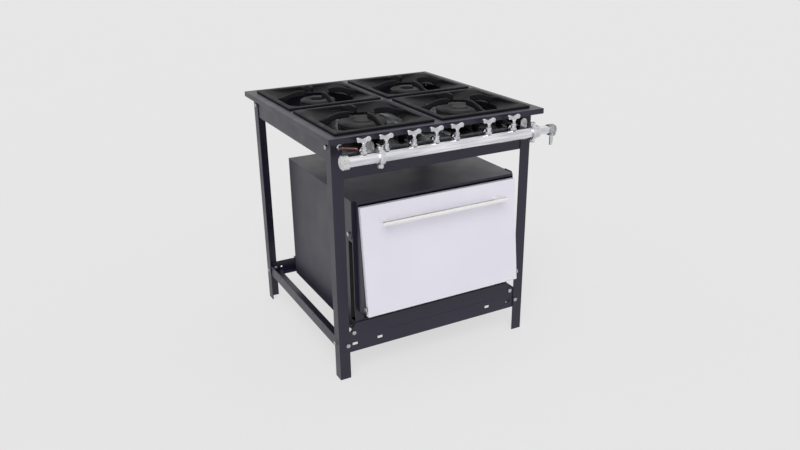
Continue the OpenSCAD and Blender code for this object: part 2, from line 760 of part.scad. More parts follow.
// Brackets that hold the pipe off the stand: a foot with a domed top, an arm and a split ring
bracket_t = 4;
module pipe_bracket(x, foot_x, back_y) {
    foot_w = foot_x == x ? 26 : 24;
    foot_z = pipe_z - 39;
    dome_z = pipe_z + 30 - foot_w / 2;
    arm_x = x + (foot_x - x) / 5;
    half = 8;
    lug_r = ring_r + 3.5;                  // clamp bolts from the pipe's axis
    lug_end = ring_r + 9;
    difference() {
        union() {
            block([foot_x - foot_w / 2, back_y - bracket_t, foot_z], [foot_x + foot_w / 2, back_y, dome_z]);
            rod_y([foot_x, back_y - bracket_t, dome_z], bracket_t, foot_w / 2);
            block([arm_x - 5, pipe_y + pipe_r + 2, pipe_z - 8], [arm_x + 5, back_y - bracket_t, pipe_z + 8]);
            rod_x([x - half, pipe_y, pipe_z], 2 * half, ring_r);
            block([x - half, pipe_y - 5, pipe_z - lug_end], [x + half, pipe_y + 5, pipe_z + lug_end]);
        }
        rod_x([x - half - e, pipe_y, pipe_z], 2 * half + 2 * e, pipe_r + 0.1);
        block([x - half - e, pipe_y - 1, pipe_z - lug_end - e], [x + half + e, pipe_y + 1, pipe_z + lug_end + e]);
        for (s = [-1, 1]) rod_y([x, pipe_y - 6, pipe_z + s * lug_r], 12, 3);
        rod_y([foot_x, back_y - bracket_t - e, bracket_bolt_z], bracket_t + 2 * e, bolt_hole_r);
    }
    for (s = [-1, 1]) translate([x, pipe_y, pipe_z + s * lug_r]) {
        rod_y([0, -5, 0], 10, 3);
        rod_y([0, -9.5, 0], 4.5, 6);
        hex_y([0, 5, 0], 4.5, 10);
    }
}
module pipe_brackets() {
    color(chrome) place() for (i = [0, 1]) pipe_bracket(bracket_x[i], bracket_foot_x[i], bracket_back_y[i]);
}

// Tap: a hexagon on the pipe, a barrel, a gland nut and a side outlet to the back
barrel_top = 16;
gland_top = 21;
stem_foot = 12;
hub_h = 7;
module tap_body(x) {
    color(chrome) translate([x, pipe_y, pipe_top]) difference() {
        union() {
            translate([0, 0, -pipe_wall]) cylinder(r = spigot_r, h = pipe_wall + 1);
            cylinder(d = 18 / cos(30), h = 8, $fn = 6);
            cylinder(r = 8, h = barrel_top);
            translate([0, 0, barrel_top]) cylinder(d = 15 / cos(30), h = gland_top - barrel_top, $fn = 6);
            rod_y([0, 0, outlet_z - pipe_top], 14, 5);
        }
        translate([0, 0, stem_foot - 0.5]) cylinder(r = stem_d / 2 + running, h = gland_top);
        translate([0, 0, -pipe_wall - e]) cylinder(r = 2.5, h = 10);
        rod_y([0, 0, outlet_z - pipe_top], 15, 2.5);
    }
}
module tap_bodies() {
    place() for (x = tap_x) tap_body(x);
}

// Butterfly handle and its stem
module tap_handle(i) {
    s = handle_w / 2;
    z = gland_top + hub_h;
    wing = [[0, z + 15], [3, z + 15.5], [s - 13, z + 17], [s - 8, z + 19.5], [s - 3, z + 20], [s, z + 17],
        [s, z + 10], [s - 2.5, z + 7], [s - 12, z + 7], [7, z + 4], [5, z + 1], [0, z + 1]];
    color(chrome) place() translate([tap_x[i - 1], pipe_y, pipe_top]) union() {
        translate([0, 0, stem_foot]) cylinder(d = stem_d, h = z - stem_foot + 9);
        translate([0, 0, gland_top + 0.3]) cylinder(r = 5.5, h = hub_h + 3);
        for (a = [0, 180]) rotate([0, 0, a]) translate([0, 3.5, 0]) rotate([90, 0, 0])
            linear_extrude(7) polygon(wing);
    }
}
module tap_handle_1() {
    tap_handle(1);
}
module tap_handle_2() {
    tap_handle(2);
}
module tap_handle_3() {
    tap_handle(3);
}
module tap_handle_4() {
    tap_handle(4);
}
module tap_handle_5() {
    tap_handle(5);
}
module tap_handle_6() {
    tap_handle(6);
}
module tap_handle_7() {
    tap_handle(7);
}

// Nut and spud that squirt gas into a mixing tube's mouth
module injector(x, front, tip) {
    color(chrome) difference() {
        union() {
            hex_y([x, front, outlet_z], nut_len, nut_af);
            rod_y([x, front + nut_len, outlet_z], tip - front - nut_len - 6, 4);
            translate([x, tip - 6, outlet_z]) rotate([-90, 0, 0]) cylinder(r1 = 4, r2 = 2, h = 6);
        }
        rod_y([x, front - e, outlet_z], tip - front - 5, 1.5);
    }
}
module injectors() {
    place() {
        for (i = [1, 2, 5, 6]) injector(tap_x[i], nut_front, mouth_y - 4);
        for (x = [-pitch_x, pitch_x]) injector(x, rear_mouth_y - 30, rear_mouth_y - 4);
    }
}

// Tubes from the two middle taps to the rear burners
module feed_tube(x, target) {
    turn_y = grate_mid_y - 28;
    path = [[x, nut_front + 1, outlet_z], [x, turn_y, outlet_z], [target, turn_y, outlet_z],
        [target, rear_mouth_y - 30, outlet_z]];
    color(chrome) difference() {
        union() {
            hex_y([x, nut_front, outlet_z], nut_len, nut_af);
            bent(path, tube_r);
        }
        rod_y([x, nut_front - e, outlet_z], 30, tube_r - 2);
    }
}
module feed_tubes() {
    place() {
        feed_tube(tap_x[3], -pitch_x);
        feed_tube(tap_x[4], pitch_x);
    }
}

// Copper line from the first tap, through the leg and down to the oven burner
module oven_gas_line() {
    x = tap_x[0];
    shell_x = -oven_w / 2;
    end_x = shell_x + 28;
    path = [[x, nut_front + 1, outlet_z], [x, nut_front + 24, outlet_z], [gas_x + 3, front_y - 16, gas_z],
        [gas_x, front_y - 8, gas_z], [gas_x, gas_y, gas_z], [gas_x, gas_y, burner_z], [end_x, gas_y, burner_z]];
    color(copper) place() difference() {
        union() {
            bent(path, tube_r);
            hex_y([x, nut_front, outlet_z], nut_len, nut_af);
            hex_y([gas_x, front_y - 9, gas_z], 9, 16);
            translate([end_x - 4, gas_y, burner_z]) rotate([0, 90, 0]) cylinder(d = nut_af / cos(30), h = 10, $fn = 6);
        }
        rod_y([x, nut_front - e, outlet_z], 20, tube_r - 2);
    }
}

// ---- oven ----

// Outer casing, open at the front, with an air slot in each side and flue holes behind
module oven_casing() {
    x = oven_w / 2;
    t = oven_t;
    color(paint) place() difference() {
        block([-x, casing_y, oven_z], [x, casing_rear, oven_top]);
        block([-x + t, casing_y - e, oven_z + t], [x - t, casing_rear - t, oven_top - t]);
        both_sides() {
            block([-x - e, casing_y + 3, slot_z], [-x + t + e, casing_y + 30, slot_top]);
            rod_x([-x - e, tab_bolt_y, tab_bolt_z], t + 2 * e, bolt_hole_r);
        }
        rod_x([-x - e, gas_y, burner_z], t + 2 * e, tube_r + 1);
        for (i = [-1 : 1]) rod_y([i * flue_pitch, casing_rear - t - e, flue_z], t + 2 * e, flue_r);
    }
}

// Inner lining, open at the front and over the burner
module oven_lining() {
    x = lining_x;
    t = lining_t;
    color(steel) place() difference() {
        block([-x, casing_y, lining_z], [x, lining_rear, lining_top]);
        block([-x + t, casing_y - e, lining_z + t], [x - t, lining_rear - t, lining_top - t]);
        block([-burner_gap_x, casing_y + 90, lining_z - e], [burner_gap_x, lining_rear - 60, lining_z + t + e]);
        for (i = [-1 : 1]) rod_y([i * flue_pitch, lining_rear - t - e, flue_z], t + 2 * e, flue_r);
    }
}

// Runners on the lining's sides: the rack lies on the lower pair
module rack_runners() {
    x = lining_x - lining_t;
    color(steel) place() both_sides() for (z = [rack_z, rack_z + 90])
        block([-x, casing_y + 25, z - 8], [-x + 10, lining_rear - lining_t, z - 4]);
}

// Blanket round the lining
module oven_insulation() {
    gap = 0.3;
    x = oven_w / 2 - oven_t - gap;
    back = casing_rear - oven_t - gap;
    front = casing_y + 38;
    color(wool) place() difference() {
        block([-x, front, lining_z], [x, back, oven_top - oven_t - gap]);
        block([-lining_x - gap, front - e, lining_z - e], [lining_x + gap, lining_rear + gap, lining_top + gap]);
        for (i = [-1 : 1]) rod_y([i * flue_pitch, lining_rear, flue_z], back - lining_rear + e, flue_r + 1);
    }
}

// Front of the oven: a flange round the mouth, slanted cheeks, a brow, a sill and two tabs
// that lap the casing's sides
module cheek_left() {
    low = 4;                               // lower corner of the cheek above the door's edge
    t = oven_t;
    union() {
        translate([-cheek_x - cheek_t, 0, 0]) rotate([90, 0, 90]) linear_extrude(cheek_t)
            polygon([[oven_y, sill_z], [slant_y(low), slant_z(low)], [brow_y, brow_z], [oven_y, brow_z]]);
        translate([0, door_y, door_z]) rotate([-door_lean, 0, 0]) {
            rod_x([-cheek_x - cheek_t, hinge_v, hinge_u], cheek_t, ear_r);
            block([-cheek_x - cheek_t, hinge_v, hinge_u - ear_r], [-cheek_x, cheek_set + t, hinge_u + ear_r]);
        }
    }
}
module front_tab_left() {
    x = -oven_w / 2;
    r = 17;
    back = tab_bolt_y + r;
    union() {
        block([x - oven_t, oven_y, tab_bolt_z], [x, back, brow_z]);
        block([x - oven_t, oven_y, oven_top], [x + e, oven_y + oven_t, brow_z]);
        intersection() {
            rod_x([x - oven_t, tab_bolt_y, tab_bolt_z], oven_t, r);
            block([x - oven_t, oven_y, tab_bolt_z - r], [x, back, tab_bolt_z]);
        }
    }
}
module oven_front() {
    flange_x = oven_w / 2;
    mouth_x = lining_x - lining_t;
    t = oven_t;
    color(paint) place() difference() {
        union() {
            difference() {
                block([-flange_x, oven_y, oven_z], [flange_x, casing_y, brow_z]);
                block([-mouth_x, oven_y - e, lining_z + lining_t], [mouth_x, casing_y + e, lining_top - lining_t]);
            }
            both_sides() {
                cheek_left();
                front_tab_left();
            }
            block([-cheek_x - e, brow_y, oven_top], [cheek_x + e, oven_y, brow_z]);
            block([-cheek_x - e, brow_y, oven_top - 6], [cheek_x + e, brow_y + t, brow_z]);
            block([-cheek_x - e, slant_y(0), sill_z], [cheek_x + e, oven_y, sill_z + t]);
        }
        rod_x([-cheek_x - 10, hinge_y, hinge_z], 2 * cheek_x + 20, pin_d / 2 + 0.1);
        both_sides() rod_x([-flange_x - oven_t - e, tab_bolt_y, tab_bolt_z], t + 2 * e, bolt_hole_r);
    }
}

// Loose steel floor over the burner, with heat slots along both sides
module oven_floor() {
    x = lining_x - lining_t - 4;
    front = casing_y + 6;
    back = lining_rear - lining_t - 4;
    slots = 6;
    pitch = (back - front) / (slots + 0.5);
    color(steel) place() difference() {
        block([-x, front, floor_z], [x, back, floor_z + 3]);
        both_sides() for (i = [0 : slots - 1])
            block([-x + 14, front + pitch * (i + 0.3), floor_z - e], [-x + 26, front + pitch * (i + 0.95), floor_z + 3 + e]);
    }
}

// Tee of steel tube with a row of flame holes on each side
module oven_burner() {
    r = 10;
    inlet_x = -oven_w / 2 + 36;
    end_y = lining_rear - 60;
    holes = 14;
    run = end_y - gas_y - 60;
    color(steel) place() difference() {
        union() {
            rod_x([inlet_x, gas_y, burner_z], -inlet_x, r);
            translate([inlet_x, gas_y, burner_z]) rotate([0, 90, 0]) cylinder(r1 = 13, r2 = r, h = 20);
            rod_y([0, gas_y, burner_z], end_y - gas_y, r);
            translate([0, gas_y, burner_z]) sphere(r = r);
            for (p = [[inlet_x + 102, gas_y], [0, gas_y + 40], [0, end_y - 20]])
                translate([p[0], p[1], (oven_z + oven_t + burner_z) / 2])
                    cube([14, 14, burner_z - oven_z - oven_t], center = true);
        }
        rod_x([inlet_x - e, gas_y, burner_z], -inlet_x, r - 2);
        rod_y([0, gas_y, burner_z], end_y - gas_y - 3, r - 2);
        for (i = [0 : holes - 1])
            rod_x([-r - e, gas_y + 40 + i * run / (holes - 1), burner_z + 3], 2 * r + 2 * e, 1.5);
    }
}

// Wire rack on the lower pair of runners
module oven_rack() {
    x = lining_x - lining_t - 4;
    front = casing_y + 25;
    back = lining_rear - 12;
    side_r = 3.2;
    cross_r = 2.8;
    cross_inset = 8;
    wire_r = 1.8;
    wire_inset = 3;
    wires = 13;
    pitch = 2 * x / (wires + 1);
    z = rack_z - 4 + side_r;
    wire_z = z + cross_r + 0.5;
    color(chrome) place() union() {
        both_sides() rod_y([-x + side_r, front, z], back - front, side_r);
        for (y = [front + cross_inset, (front + back) / 2, back - cross_inset])
            rod_x([-x + side_r, y, z], 2 * (x - side_r), cross_r);
        for (i = [1 : wires])
            rod_y([-x + i * pitch, front + wire_inset, wire_z], back - front - 2 * wire_inset, wire_r);
    }
}

// ---- door: it is drawn upright with its lower edge on the X axis, then leaned back ----

module door_place() {
    place() translate([0, door_y, door_z]) rotate([-door_lean, 0, 0]) children();
}

// Pins on which the door drops, each with its bolt head outside the cheek
module hinge_pins() {
    color(chrome) place() both_sides() {
        rod_x([-cheek_x - cheek_t - 4, hinge_y, hinge_z], 27, pin_d / 2);
        rod_x([-cheek_x - cheek_t - 4, hinge_y, hinge_z], 4, 7);
    }
}

// White outer panel: a shallow tray with folded edges
module door_panel() {
    x = door_w / 2;
    s = skin_t;
    color(enamel) door_place() difference() {
        block([-x, 0, 0], [x, door_t, door_h]);
        block([-x + s, s, s], [x - s, door_t + e, door_h - s]);
        rod_x([-x - e, hinge_v, hinge_u], 2 * x + 2 * e, pin_d / 2 + running);
        for (i = [-1, 1]) rod_y([i * grip_x, -e, grip_up], s + 2 * e, 3.2);
    }
}
grip_x = grip_len / 2 - 25;

// Inner panel with the two hinge blocks
module door_liner() {
    x = door_w / 2 - skin_t - 0.2;
    s = skin_t + 0.2;
    color(steel) door_place() difference() {
        union() {
            block([-x, door_t - 2.5, s], [x, door_t, door_h - s]);
            both_sides() block([-x, s, hinge_u - 13], [-x + 17, door_t - 2, hinge_u + 13]);
        }
        both_sides() rod_x([-x - e, hinge_v, hinge_u], 19, pin_d / 2 + running);
    }
}

// Round bar handle on two posts, screwed through the panel
module door_handle() {
    post = 6;
    y = -grip_out;
    color(chrome) door_place() union() {
        rod_x([-grip_len / 2, y, grip_up], grip_len, grip_d / 2);
        for (i = [-1, 1]) {
            rod_y([i * grip_x, y, grip_up], grip_out, post);
            rod_y([i * grip_x, -1, grip_up], skin_t + 1, 3);
            rod_y([i * grip_x, skin_t, grip_up], 3, 6);
        }
    }
}

leg_front_left();
leg_front_right();
leg_rear_left();
leg_rear_right();
top_frame();
apron_left();
apron_right();
apron_rear();
front_rail();
lower_rail_left();
lower_rail_right();
lower_rail_rear();
front_plate();
oven_bearers();
bolts();
burner_bars();
drip_pan();
burner_front_left();
burner_front_right();
burner_rear_left();
burner_rear_right();
burner_cap_front_left();
burner_cap_front_right();
burner_cap_rear_left();
burner_cap_rear_right();
grate_front_left();
grate_front_right();
grate_rear_left();
grate_rear_right();
supply_pipe();
pipe_cap();
pipe_reducer();
inlet_nipple();
inlet_elbow();
hose_tail();
pipe_brackets();
tap_bodies();
tap_handle_1();
tap_handle_2();
tap_handle_3();
tap_handle_4();
tap_handle_5();
tap_handle_6();
tap_handle_7();
injectors();
feed_tubes();
oven_gas_line();
oven_casing();
oven_lining();
rack_runners();
oven_insulation();
oven_front();
oven_floor();
oven_burner();
oven_rack();
hinge_pins();
door_panel();
door_liner();
door_handle();
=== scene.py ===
import json
import math

import bmesh
import bpy
from mathutils import Matrix, Vector

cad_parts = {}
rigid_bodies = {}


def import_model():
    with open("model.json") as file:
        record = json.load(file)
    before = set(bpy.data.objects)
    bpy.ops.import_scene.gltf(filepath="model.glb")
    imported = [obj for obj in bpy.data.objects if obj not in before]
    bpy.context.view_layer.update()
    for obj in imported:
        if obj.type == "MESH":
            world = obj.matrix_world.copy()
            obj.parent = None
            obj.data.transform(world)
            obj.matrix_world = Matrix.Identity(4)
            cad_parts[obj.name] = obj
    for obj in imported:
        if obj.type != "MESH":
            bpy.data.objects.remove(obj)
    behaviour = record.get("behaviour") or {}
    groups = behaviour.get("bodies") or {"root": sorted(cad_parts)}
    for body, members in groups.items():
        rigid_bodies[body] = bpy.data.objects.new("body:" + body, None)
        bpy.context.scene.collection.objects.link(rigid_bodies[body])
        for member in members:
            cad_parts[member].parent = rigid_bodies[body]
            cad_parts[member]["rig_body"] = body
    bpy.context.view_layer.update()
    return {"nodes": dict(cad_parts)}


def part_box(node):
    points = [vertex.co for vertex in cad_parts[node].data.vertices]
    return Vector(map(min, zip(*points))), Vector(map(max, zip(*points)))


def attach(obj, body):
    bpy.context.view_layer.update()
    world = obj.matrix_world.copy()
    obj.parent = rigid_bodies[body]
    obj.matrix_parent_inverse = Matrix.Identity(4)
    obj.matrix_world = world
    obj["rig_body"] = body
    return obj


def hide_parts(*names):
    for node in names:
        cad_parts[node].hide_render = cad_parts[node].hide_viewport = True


print("stage: frame")
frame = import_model()
nodes = frame["nodes"]
scene = bpy.context.scene
standShift = (-15, 24.75)   # mm from the stand's middle to the middle of the whole cooker
mixShare, mixA, mixB = 0, 6, 7   # the sockets of a Mix node that mixes colours


def at(x, y, z):
    # a point in millimetres from the stand's middle
    return Vector((x + standShift[0], y + standShift[1], z)) / 1000


def tone(hexText):
    values = [int(hexText[i:i + 2], 16) / 255 for i in (1, 3, 5)]
    return (*[v / 12.92 if v <= 0.04045 else ((v + 0.055) / 1.055) ** 2.4 for v in values], 1.0)


def per(size):
    return 1000 / size   # texture scale for a pattern that repeats about every size mm


def add(tree, kind, inputs=None, **settings):
    made = tree.nodes.new(kind)
    for name, value in settings.items():
        setattr(made, name, value)
    for socket, value in (inputs or {}).items():
        if isinstance(value, bpy.types.NodeSocket):
            tree.links.new(value, made.inputs[socket])
        else:
            made.inputs[socket].default_value = value
    return made


def newFinish(name):
    made = bpy.data.materials.new(name)
    made.use_nodes = True
    made.node_tree.nodes.clear()
    return made, made.node_tree, add(made.node_tree, "ShaderNodeTexCoord").outputs["Object"]


def coated(made, inputs):
    shader = add(made.node_tree, "ShaderNodeBsdfPrincipled", inputs)
    add(made.node_tree, "ShaderNodeOutputMaterial", {"Surface": shader.outputs[0]})
    return made


def edgeMask(tree, radius, start=0.985, full=0.8):
    # 1 along corners, 0 on open faces: where handling and assembly wear the coat; on the cast iron it also
    #                                   places a painted edge highlight
    soft = add(tree, "ShaderNodeBevel", {"Radius": radius / 1000}, samples=6)
    real = add(tree, "ShaderNodeNewGeometry")
    turn = add(tree, "ShaderNodeVectorMath", {0: soft.outputs[0], 1: real.outputs["Normal"]},
               operation="DOT_PRODUCT")
    corner = add(tree, "ShaderNodeMapRange", {"Value": turn.outputs["Value"], "From Min": start,
                                              "From Max": full})
    return corner.outputs[0], soft.outputs[0]


def stovedPaint():
    # stoved black enamel paint on folded mild steel: semi-gloss, a faint orange peel, and grey
    # where corners rub
    look = {"paint": "#151122", "bloom": "#1e1a32", "bare": "#7e8086", "roughness": 0.36,
            "peel": 2.4, "cloud": 90, "scuff": 14, "edge": 1.0}
    made, tree, place = newFinish("stovedBlackPaint")
    cloud = add(tree, "ShaderNodeTexNoise", {"Vector": place, "Scale": per(look["cloud"]), "Detail": 4.0})
    bloom = add(tree, "ShaderNodeMix", {mixShare: cloud.outputs[0], mixA: tone(look["paint"]),
                                        mixB: tone(look["bloom"])}, data_type="RGBA")
    corner, soft = edgeMask(tree, look["edge"])
    scuff = add(tree, "ShaderNodeTexNoise", {"Vector": place, "Scale": per(look["scuff"]), "Detail": 8.0,
                                             "Roughness": 0.7})
    scuffed = add(tree, "ShaderNodeMapRange", {"Value": scuff.outputs[0], "From Min": 0.56,
                                               "From Max": 0.72})
    worn = add(tree, "ShaderNodeMath", {0: corner, 1: scuffed.outputs[0]}, operation="MULTIPLY")
    colour = add(tree, "ShaderNodeMix", {mixShare: worn.outputs[0], mixA: bloom.outputs[2],
                                         mixB: tone(look["bare"])}, data_type="RGBA")
    sheen = add(tree, "ShaderNodeMapRange", {"Value": cloud.outputs[0], "From Min": 0.3, "From Max": 0.7,
                                             "To Min": look["roughness"] - 0.04,
                                             "To Max": look["roughness"] + 0.06})
    peel = add(tree, "ShaderNodeTexNoise", {"Vector": place, "Scale": per(look["peel"]), "Detail": 2.0})
    bump = add(tree, "ShaderNodeBump", {"Strength": 0.25, "Distance": 0.00012, "Height": peel.outputs[0],
                                        "Normal": soft})
    return coated(made, {"Base Color": colour.outputs[2], "Roughness": sheen.outputs[0],
                         "Normal": bump.outputs[0]})


def castIron(name, look):
    # sand-cast grey iron: the sand leaves a pebbled skin, burnt oil a thin matt black film; every corner is
    # painted lighter, partly for iron rubbed by pans and partly as a painted edge highlight
    made, tree, place = newFinish(name)
    own = add(tree, "ShaderNodeObjectInfo")
    moved = add(tree, "ShaderNodeVectorMath", {0: place, 1: own.outputs["Random"]},
                operation="ADD").outputs[0]
    patch = add(tree, "ShaderNodeTexNoise", {"Vector": moved, "Scale": per(look["patch"]), "Detail": 5.0,
                                             "Roughness": 0.6})
    spread = add(tree, "ShaderNodeMapRange", {"Value": patch.outputs[0], "From Min": 0.35,
                                              "From Max": 0.68})
    skin = add(tree, "ShaderNodeMix", {mixShare: spread.outputs[0], mixA: tone(look["black"]),
                                       mixB: tone(look["ash"])}, data_type="RGBA")
    fine = add(tree, "ShaderNodeTexNoise", {"Vector": moved, "Scale": per(look["speck"]), "Detail": 3.0})
    rust = add(tree, "ShaderNodeMapRange", {"Value": fine.outputs[0], "From Min": 0.62, "From Max": 0.8,
                                            "To Max": look["rustShare"]})
    tinted = add(tree, "ShaderNodeMix", {mixShare: rust.outputs[0], mixA: skin.outputs[2],
                                         mixB: tone(look["rust"])}, data_type="RGBA")
    corner, soft = edgeMask(tree, look["edge"], 0.97, 0.7)
    # every corner lightened: rubbed iron, and a painted edge highlight
    rubbedAndHighlit = add(tree, "ShaderNodeMath", {0: corner, 1: look["rubAndEdgeHighlightShare"]}, operation="MULTIPLY")
    colour = add(tree, "ShaderNodeMix", {mixShare: rubbedAndHighlit.outputs[0], mixA: tinted.outputs[2],
                                         mixB: tone(look["rubAndEdgeHighlight"])}, data_type="RGBA")
    dull = add(tree, "ShaderNodeMapRange", {"Value": patch.outputs[0], "From Min": 0.3, "From Max": 0.7,
                                            "To Min": look["roughness"] - 0.1,
                                            "To Max": look["roughness"] + 0.12})
    sand = add(tree, "ShaderNodeTexNoise", {"Vector": moved, "Scale": per(look["sand"]), "Detail": 3.0,
                                            "Roughness": 0.65})
    wave = add(tree, "ShaderNodeTexNoise", {"Vector": moved, "Scale": per(look["wave"]), "Detail": 1.0})
    grain = add(tree, "ShaderNodeBump", {"Strength": 0.5, "Distance": 0.0003, "Height": sand.outputs[0],
                                         "Normal": soft})
    swell = add(tree, "ShaderNodeBump", {"Strength": 0.5, "Distance": 0.0009, "Height": wave.outputs[0],
                                         "Normal": grain.outputs[0]})
    return coated(made, {"Base Color": colour.outputs[2], "Roughness": dull.outputs[0], "IOR": look["film"],
                         "Normal": swell.outputs[0]})


def plated(name, look):
    # bright metal or plating over a drawn, formed or turned part: mirror-like to satin, hair scratches,
    # a slight waviness of the metal, and patches of film from handling
    made, tree, place = newFinish(name)
    drawn = add(tree, "ShaderNodeMapping", {"Vector": place, "Scale": look["along"]}).outputs[0]
    film = add(tree, "ShaderNodeTexNoise", {"Vector": drawn, "Scale": per(look["film"]), "Detail": 5.0})
    spread = add(tree, "ShaderNodeMapRange", {"Value": film.outputs[0], "From Min": 0.36, "From Max": 0.66})
    sheen = add(tree, "ShaderNodeMix", {mixShare: spread.outputs[0], mixA: tone(look["bright"]),
                                        mixB: tone(look["dull"])}, data_type="RGBA")
    corner, soft = edgeMask(tree, look["edge"])
    base = add(tree, "ShaderNodeMath", {0: corner, 1: look["edgeShare"]}, operation="MULTIPLY")
    colour = add(tree, "ShaderNodeMix", {mixShare: base.outputs[0], mixA: sheen.outputs[2],
                                         mixB: tone(look["under"])}, data_type="RGBA")
    hair = add(tree, "ShaderNodeTexNoise", {"Vector": drawn, "Scale": per(look["hair"]), "Detail": 4.0})
    rough = add(tree, "ShaderNodeMapRange", {"Value": hair.outputs[0], "From Min": 0.35, "From Max": 0.75,
                                             "To Min": look["roughness"] * 0.7,
                                             "To Max": look["roughness"] * 1.6})
    wave = add(tree, "ShaderNodeTexNoise", {"Vector": drawn, "Scale": per(look["wave"]), "Detail": 2.0})
    bump = add(tree, "ShaderNodeBump", {"Strength": look["bump"], "Distance": 0.0003,
                                        "Height": wave.outputs[0], "Normal": soft})
    return coated(made, {"Base Color": colour.outputs[2], "Roughness": rough.outputs[0], "Metallic": 1.0,
                         "Normal": bump.outputs[0]})


def zincedSheet():
    # hot-dip galvanised sheet: grey crystals a centimetre across, each with its own shine, dulled by
    # heat and smoke
    look = {"light": "#a9acae", "dark": "#84888b", "smoke": "#4b4640", "crystal": 11, "bend": 9,
            "cloud": 120, "roughness": 0.38, "edge": 0.6}
    made, tree, place = newFinish("galvanisedSheet")
    bend = add(tree, "ShaderNodeTexNoise", {"Vector": place, "Scale": per(look["bend"]), "Detail": 2.0})
    warped = add(tree, "ShaderNodeMix", {mixShare: 0.012, mixA: place, mixB: bend.outputs["Color"]},
                 data_type="RGBA")
    crystal = add(tree, "ShaderNodeTexVoronoi", {"Vector": warped.outputs[2], "Scale": per(look["crystal"])})
    shade = add(tree, "ShaderNodeSeparateColor", {0: crystal.outputs["Color"]})
    spangle = add(tree, "ShaderNodeMix", {mixShare: shade.outputs[0], mixA: tone(look["light"]),
                                          mixB: tone(look["dark"])}, data_type="RGBA")
    smoke = add(tree, "ShaderNodeTexNoise", {"Vector": place, "Scale": per(look["cloud"]), "Detail": 5.0})
    smoked = add(tree, "ShaderNodeMapRange", {"Value": smoke.outputs[0], "From Min": 0.45, "From Max": 0.9,
                                              "To Max": 0.4})
    colour = add(tree, "ShaderNodeMix", {mixShare: smoked.outputs[0], mixA: spangle.outputs[2],
                                         mixB: tone(look["smoke"])}, data_type="RGBA")
    shine = add(tree, "ShaderNodeMapRange", {"Value": shade.outputs[1], "To Min": look["roughness"] - 0.08,
                                             "To Max": look["roughness"] + 0.12})
    soft = add(tree, "ShaderNodeBevel", {"Radius": look["edge"] / 1000}, samples=4)
    bump = add(tree, "ShaderNodeBump", {"Strength": 0.2, "Distance": 0.0001, "Height": shade.outputs[0],
                                        "Normal": soft.outputs[0]})
    return coated(made, {"Base Color": colour.outputs[2], "Roughness": shine.outputs[0], "Metallic": 1.0,
                         "Normal": bump.outputs[0]})


def scaledSteel():
    # hot-rolled flat bar and tube: blue-black mill scale, patchy, with brown rust in its pores
    look = {"scale": "#26282c", "grey": "#414348", "rust": "#4f3224", "patch": 22, "pore": 5,
            "smooth": 0.4, "rough": 0.7, "edge": 0.6}
    made, tree, place = newFinish("hotRolledSteel")
    patch = add(tree, "ShaderNodeTexNoise", {"Vector": place, "Scale": per(look["patch"]), "Detail": 6.0,
                                             "Roughness": 0.65})
    skin = add(tree, "ShaderNodeMix", {mixShare: patch.outputs[0], mixA: tone(look["scale"]),
                                       mixB: tone(look["grey"])}, data_type="RGBA")
    pore = add(tree, "ShaderNodeTexNoise", {"Vector": place, "Scale": per(look["pore"]), "Detail": 6.0})
    rust = add(tree, "ShaderNodeMapRange", {"Value": pore.outputs[0], "From Min": 0.6, "From Max": 0.75,
                                            "To Max": 0.7})
    colour = add(tree, "ShaderNodeMix", {mixShare: rust.outputs[0], mixA: skin.outputs[2],
                                         mixB: tone(look["rust"])}, data_type="RGBA")
    rough = add(tree, "ShaderNodeMapRange", {"Value": pore.outputs[0], "From Min": 0.3, "From Max": 0.7,
                                             "To Min": look["smooth"], "To Max": look["rough"]})
    soft = add(tree, "ShaderNodeBevel", {"Radius": look["edge"] / 1000}, samples=4)
    bump = add(tree, "ShaderNodeBump", {"Strength": 0.4, "Distance": 0.0002, "Height": pore.outputs[0],
                                        "Normal": soft.outputs[0]})
    return coated(made, {"Base Color": colour.outputs[2], "Roughness": rough.outputs[0], "Metallic": 0.5,
                         "Normal": bump.outputs[0]})


def enamelled():
    # white porcelain enamel fired on steel: glassy and slightly wavy, with the dark ground coat at
    # its edges
    look = {"white": "#e6e4ee", "shade": "#dddbe6", "ground": "#23232b", "roughness": 0.16, "ior": 1.52,
            "cloud": 160, "chip": 9, "wipe": 60, "wave": 26, "edge": 1.3}
    made, tree, place = newFinish("porcelainEnamelWhite")
    cloud = add(tree, "ShaderNodeTexNoise", {"Vector": place, "Scale": per(look["cloud"]), "Detail": 2.0})
    coat = add(tree, "ShaderNodeMix", {mixShare: cloud.outputs[0], mixA: tone(look["white"]),
                                       mixB: tone(look["shade"])}, data_type="RGBA")
    corner, soft = edgeMask(tree, look["edge"], 0.96, 0.72)
    chip = add(tree, "ShaderNodeTexNoise", {"Vector": place, "Scale": per(look["chip"]), "Detail": 5.0})
    chipped = add(tree, "ShaderNodeMapRange", {"Value": chip.outputs[0], "From Min": 0.5, "From Max": 0.6})
    bare = add(tree, "ShaderNodeMath", {0: corner, 1: chipped.outputs[0]}, operation="MULTIPLY")
    colour = add(tree, "ShaderNodeMix", {mixShare: bare.outputs[0], mixA: coat.outputs[2],
                                         mixB: tone(look["ground"])}, data_type="RGBA")
    wipe = add(tree, "ShaderNodeTexNoise", {"Vector": place, "Scale": per(look["wipe"]), "Detail": 6.0})
    rough = add(tree, "ShaderNodeMapRange", {"Value": wipe.outputs[0], "From Min": 0.3, "From Max": 0.7,
                                             "To Min": look["roughness"] - 0.04,
                                             "To Max": look["roughness"] + 0.08})
    wave = add(tree, "ShaderNodeTexNoise", {"Vector": place, "Scale": per(look["wave"]), "Detail": 2.0})
    bump = add(tree, "ShaderNodeBump", {"Strength": 0.12, "Distance": 0.0005, "Height": wave.outputs[0],
                                        "Normal": soft})
    return coated(made, {"Base Color": colour.outputs[2], "Roughness": rough.outputs[0],
                         "IOR": look["ior"], "Normal": bump.outputs[0]})


